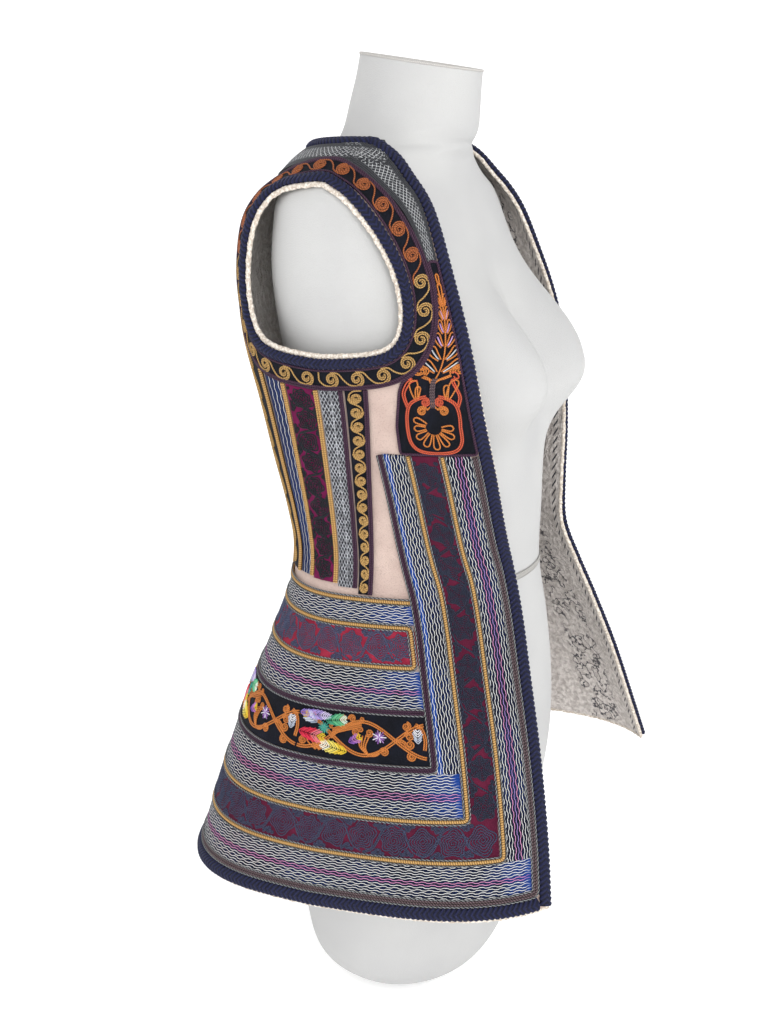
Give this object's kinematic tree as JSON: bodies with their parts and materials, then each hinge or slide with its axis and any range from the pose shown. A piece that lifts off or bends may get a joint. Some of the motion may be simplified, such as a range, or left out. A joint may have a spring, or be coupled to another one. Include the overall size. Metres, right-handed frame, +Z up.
{
  "type": "embroidered folk vest on dress form",
  "caption": "Sleeveless folk vest of pale wool with flared, banded skirt, thick braid edges and applied embroidery, open down the front, on a smooth limbless dress form.",
  "frame": {"origin": "on the surface that the form stands on, under the middle of the whole object's box", "axes": "+Z up, the vest's open front faces -Y, and the wearer's right side is -X"},
  "size_m": [0.4934, 0.386, 0.9235],
  "materials": {
    "felt": "cream wool fleece, cut edges and soft nap",
    "navy_braid": "thick plaited wool braid, navy with paler flecks",
    "black_cloth": "blue-black wool with couched cord and silk stitches",
    "blue_cloth": "dark blue wool with rows of wavy threads",
    "plum_cloth": "plum wool with interlaced scroll stitches",
    "red_cloth": "raspberry wool with slate scroll stitches",
    "grey_cloth": "dark grey twill with pale lattice threads",
    "jersey": "smooth off-white knitted jersey",
    "tape": "narrow grey cotton tape"
  },
  "bodies": {
    "root": {"armhole_band_left": "black_cloth", "armhole_band_right": "black_cloth", "armhole_braid_left": "navy_braid", "armhole_braid_right": "navy_braid", "back_bodice": "felt", "back_skirt": "felt", "back_strip_left": "black_cloth", "back_strip_right": "black_cloth", "border_rosette_left": "plum_cloth", "border_rosette_right": "plum_cloth", "border_wave_inner_left": "blue_cloth", "border_wave_inner_right": "blue_cloth", "border_wave_outer_left": "blue_cloth", "border_wave_outer_right": "blue_cloth", "chest_panel_left": "black_cloth", "chest_panel_right": "black_cloth", "dress_form": "jersey", "front_panel_left": "felt", "front_panel_right": "felt", "hem_braid": "navy_braid", "neck_band": "grey_cloth", "opening_braid": "navy_braid", "skirt_band_flower": "black_cloth", "skirt_band_rosette_high": "red_cloth", "skirt_band_rosette_low": "plum_cloth", "skirt_band_wave_hem": "blue_cloth", "skirt_band_wave_high": "blue_cloth", "skirt_band_wave_low": "blue_cloth", "skirt_band_wave_waist": "blue_cloth", "underarm_panel_left": "plum_cloth", "underarm_panel_right": "plum_cloth", "waist_tape": "tape"}
  },
  "joints": []
}
